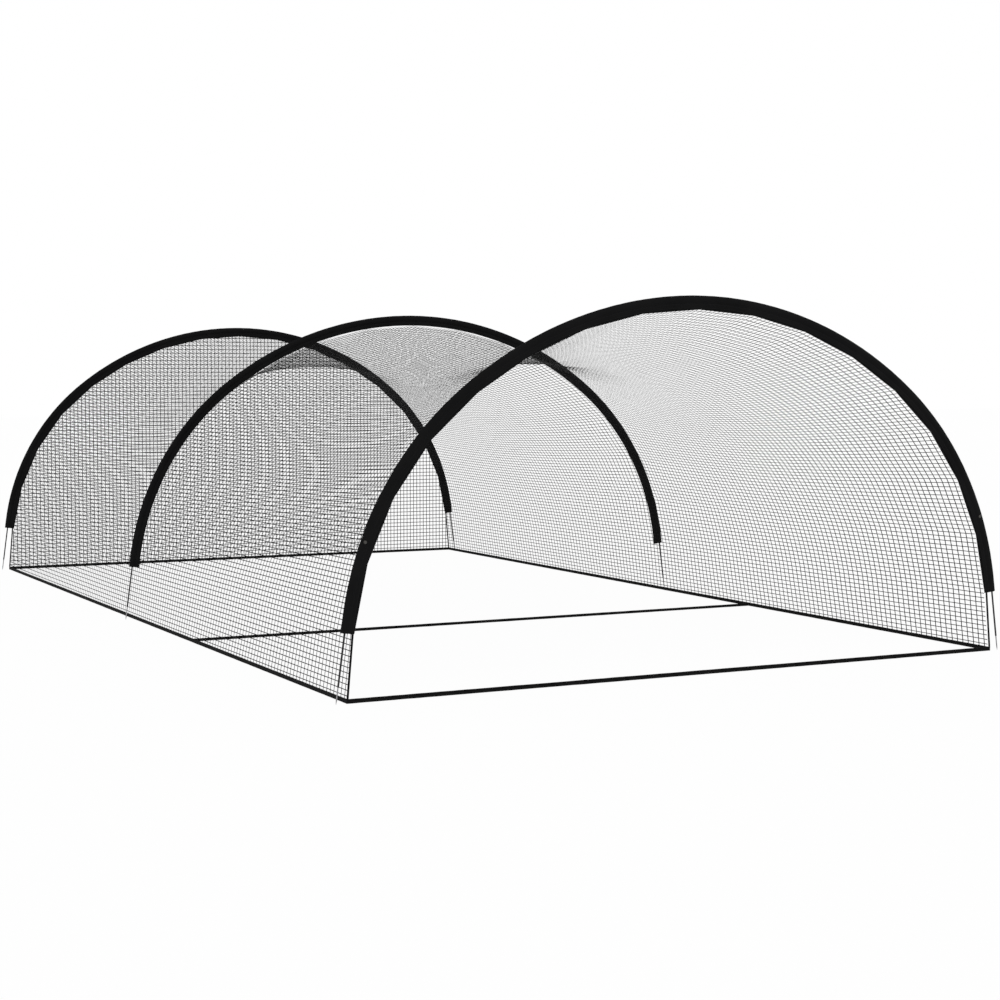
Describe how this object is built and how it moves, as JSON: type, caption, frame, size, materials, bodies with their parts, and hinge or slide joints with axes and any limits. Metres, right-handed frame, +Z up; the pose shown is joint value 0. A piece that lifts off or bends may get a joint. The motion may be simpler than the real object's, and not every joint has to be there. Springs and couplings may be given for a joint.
{
  "type": "golf practice net",
  "caption": "Walk-in tunnel of black netting on bent fibreglass hoops in fabric sleeves, open at the front and closed at the rear, standing on ground spikes.",
  "frame": {"origin": "on the ground, at the centre of the footprint, under the top of the middle hoop", "axes": "+Z up, +X to the right as seen from the open front, +Y from the open front to the closed rear, along the longest side"},
  "size_m": [5.152, 9.0236, 2.4998],
  "materials": {
    "sleeve_fabric": "matt black woven polyester",
    "net_twine": "black knotted polyethylene twine",
    "hem_webbing": "black sewn hem",
    "edge_webbing": "black edge webbing",
    "edge_hem": "black rolled and sewn edge",
    "pole_fibreglass": "black glass fibre rod, satin",
    "spike_steel": "zinc plated steel rod",
    "ferrule_steel": "drawn steel tube",
    "stud_metal": "dark grey press stud"
  },
  "bodies": {
    "net_and_hoops": {"front_sleeve": "sleeve_fabric", "front_pole_section_1": "pole_fibreglass", "front_pole_section_2": "pole_fibreglass", "front_pole_section_3": "pole_fibreglass", "front_pole_section_4": "pole_fibreglass", "front_pole_section_5": "pole_fibreglass", "front_pole_section_6": "pole_fibreglass", "front_ferrules": "ferrule_steel", "middle_sleeve": "sleeve_fabric", "middle_pole_section_1": "pole_fibreglass", "middle_pole_section_2": "pole_fibreglass", "middle_pole_section_3": "pole_fibreglass", "middle_pole_section_4": "pole_fibreglass", "middle_pole_section_5": "pole_fibreglass", "middle_pole_section_6": "pole_fibreglass", "middle_ferrules": "ferrule_steel", "rear_sleeve": "sleeve_fabric", "rear_pole_section_1": "pole_fibreglass", "rear_pole_section_2": "pole_fibreglass", "rear_pole_section_3": "pole_fibreglass", "rear_pole_section_4": "pole_fibreglass", "rear_pole_section_5": "pole_fibreglass", "rear_pole_section_6": "pole_fibreglass", "rear_ferrules": "ferrule_steel", "front_sleeve_studs": "stud_metal", "right_net_wall": "net_twine", "net_roof": "net_twine", "left_net_wall": "net_twine", "rear_net": "net_twine", "front_net_tape": "edge_webbing", "rear_net_tape": "edge_webbing", "front_right_edge_hem": "edge_hem", "front_left_edge_hem": "edge_hem", "rear_right_edge_hem": "edge_hem", "rear_left_edge_hem": "edge_hem", "right_ground_hem": "hem_webbing", "left_ground_hem": "hem_webbing", "front_sill_strap": "hem_webbing", "rear_ground_hem": "hem_webbing", "cross_strap": "hem_webbing"},
    "front_right_leg": {"front_right_leg_pole": "pole_fibreglass"},
    "front_right_spike": {"front_right_ground_spike": "spike_steel"},
    "front_left_leg": {"front_left_leg_pole": "pole_fibreglass"},
    "front_left_spike": {"front_left_ground_spike": "spike_steel"},
    "middle_right_leg": {"middle_right_leg_pole": "pole_fibreglass"},
    "middle_right_spike": {"middle_right_ground_spike": "spike_steel"},
    "middle_left_leg": {"middle_left_leg_pole": "pole_fibreglass"},
    "middle_left_spike": {"middle_left_ground_spike": "spike_steel"},
    "rear_right_leg": {"rear_right_leg_pole": "pole_fibreglass"},
    "rear_right_spike": {"rear_right_ground_spike": "spike_steel"},
    "rear_left_leg": {"rear_left_leg_pole": "pole_fibreglass"},
    "rear_left_spike": {"rear_left_ground_spike": "spike_steel"}
  },
  "joints": [
    {"name": "front_right_leg_pull", "type": "hinge", "parent": "net_and_hoops", "child": "front_right_leg", "pos_m": [0.40901, -4.5, 0.21268], "axis": [0, 1, 0], "range_deg": [0, 1.15]},
    {"name": "front_right_spike_pull", "type": "slide", "parent": "front_right_leg", "child": "front_right_spike", "axis": [0.1357, 0, -0.9907], "range_m": [0, 0.055]},
    {"name": "front_left_leg_pull", "type": "hinge", "parent": "net_and_hoops", "child": "front_left_leg", "pos_m": [-0.40901, -4.5, 0.21268], "axis": [0, -1, 0], "range_deg": [0, 1.15]},
    {"name": "front_left_spike_pull", "type": "slide", "parent": "front_left_leg", "child": "front_left_spike", "axis": [-0.1357, 0, -0.9907], "range_m": [0, 0.055]},
    {"name": "middle_right_leg_pull", "type": "hinge", "parent": "net_and_hoops", "child": "middle_right_leg", "pos_m": [0.40901, 0, 0.21268], "axis": [0, 1, 0], "range_deg": [0, 1.15]},
    {"name": "middle_right_spike_pull", "type": "slide", "parent": "middle_right_leg", "child": "middle_right_spike", "axis": [0.1357, 0, -0.9907], "range_m": [0, 0.055]},
    {"name": "middle_left_leg_pull", "type": "hinge", "parent": "net_and_hoops", "child": "middle_left_leg", "pos_m": [-0.40901, 0, 0.21268], "axis": [0, -1, 0], "range_deg": [0, 1.15]},
    {"name": "middle_left_spike_pull", "type": "slide", "parent": "middle_left_leg", "child": "middle_left_spike", "axis": [-0.1357, 0, -0.9907], "range_m": [0, 0.055]},
    {"name": "rear_right_leg_pull", "type": "hinge", "parent": "net_and_hoops", "child": "rear_right_leg", "pos_m": [0.40901, 4.5, 0.21268], "axis": [0, 1, 0], "range_deg": [0, 1.15]},
    {"name": "rear_right_spike_pull", "type": "slide", "parent": "rear_right_leg", "child": "rear_right_spike", "axis": [0.1357, 0, -0.9907], "range_m": [0, 0.055]},
    {"name": "rear_left_leg_pull", "type": "hinge", "parent": "net_and_hoops", "child": "rear_left_leg", "pos_m": [-0.40901, 4.5, 0.21268], "axis": [0, -1, 0], "range_deg": [0, 1.15]},
    {"name": "rear_left_spike_pull", "type": "slide", "parent": "rear_left_leg", "child": "rear_left_spike", "axis": [-0.1357, 0, -0.9907], "range_m": [0, 0.055]}
  ]
}
